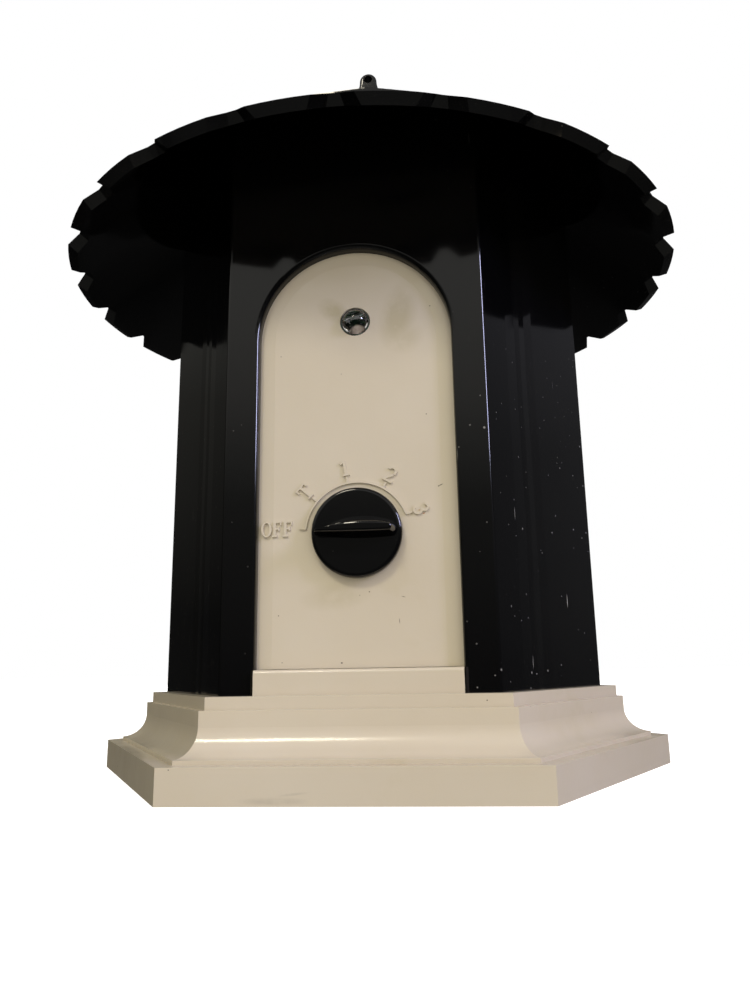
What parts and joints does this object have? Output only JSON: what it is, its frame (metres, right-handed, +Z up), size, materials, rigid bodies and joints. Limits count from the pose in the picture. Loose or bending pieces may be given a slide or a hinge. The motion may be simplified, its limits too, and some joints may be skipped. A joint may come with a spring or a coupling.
{
  "type": "ultrasonic bark controller",
  "caption": "Outdoor ultrasonic bark controller in a six-sided bird-house casing with a conical eave, ivory arched panel, lamp and rotary dial.",
  "frame": {"origin": "on the casing's axis at the underside of the plinth", "axes": "+Z up through the hanging eye, -Y out of the control panel, +X to the right of someone facing the panel"},
  "size_m": [0.1404, 0.1404, 0.174],
  "materials": {
    "black_casing": "glossy moulded plastic",
    "black_knob": "glossy moulded plastic",
    "ivory_casing": "semi-gloss moulded plastic",
    "black_inner": "fine matte",
    "screw_steel": "zinc plated",
    "spindle_steel": "turned",
    "soft_rubber": "matte",
    "clear_lens": "clear, polished",
    "board_green": "solder mask",
    "chip_black": "matte",
    "transformer_tape": "tape wrap",
    "capacitor_sleeve": "shrink sleeve",
    "contact_brass": "satin",
    "cone_aluminium": "satin",
    "battery_jacket": "satin",
    "wire_red": "insulation",
    "wire_black": "insulation"
  },
  "bodies": {
    "housing": {"base_plinth": "ivory_casing", "bottom_plate": "black_inner", "battery_bay": "black_inner", "battery": "battery_jacket", "battery_terminals": "spindle_steel", "battery_snap": "black_inner", "plate_screws": "screw_steel", "shell_screws": "screw_steel", "base_gasket": "soft_rubber", "front_shell": "black_casing", "rear_shell": "black_casing", "control_panel": "ivory_casing", "rear_panel": "ivory_casing", "switch_body": "black_inner", "shaft_seal": "soft_rubber", "led_lens": "clear_lens", "led_leads": "spindle_steel", "circuit_board": "board_green", "logic_chip": "chip_black", "drive_transformer": "transformer_tape", "capacitors": "capacitor_sleeve", "sounder_grille": "black_inner", "sounder_gasket": "soft_rubber", "sounder_case": "black_inner", "sounder_cone": "cone_aluminium", "piezo_disc": "contact_brass", "sounder_screws": "screw_steel", "microphone_boot": "soft_rubber", "microphone": "cone_aluminium", "battery_lead_red": "wire_red", "battery_lead_black": "wire_black", "sounder_leads": "wire_black", "microphone_leads": "wire_black", "ceiling_plate": "black_inner", "roof_screws": "screw_steel", "roof_shell": "black_casing"},
    "knob": {"knob": "black_knob", "knob_spindle": "spindle_steel", "switch_wiper": "contact_brass"},
    "battery_cover": {"battery_cover": "black_inner"}
  },
  "joints": [
    {"name": "knob_turn", "type": "hinge", "parent": "housing", "child": "knob", "pos_m": [0, -0.0418, 0.0441], "axis": [0, 1, 0], "range_deg": [0, 160]},
    {"name": "battery_cover_slide", "type": "slide", "parent": "housing", "child": "battery_cover", "axis": [0, 1, 0], "range_m": [0, 0.026]}
  ]
}
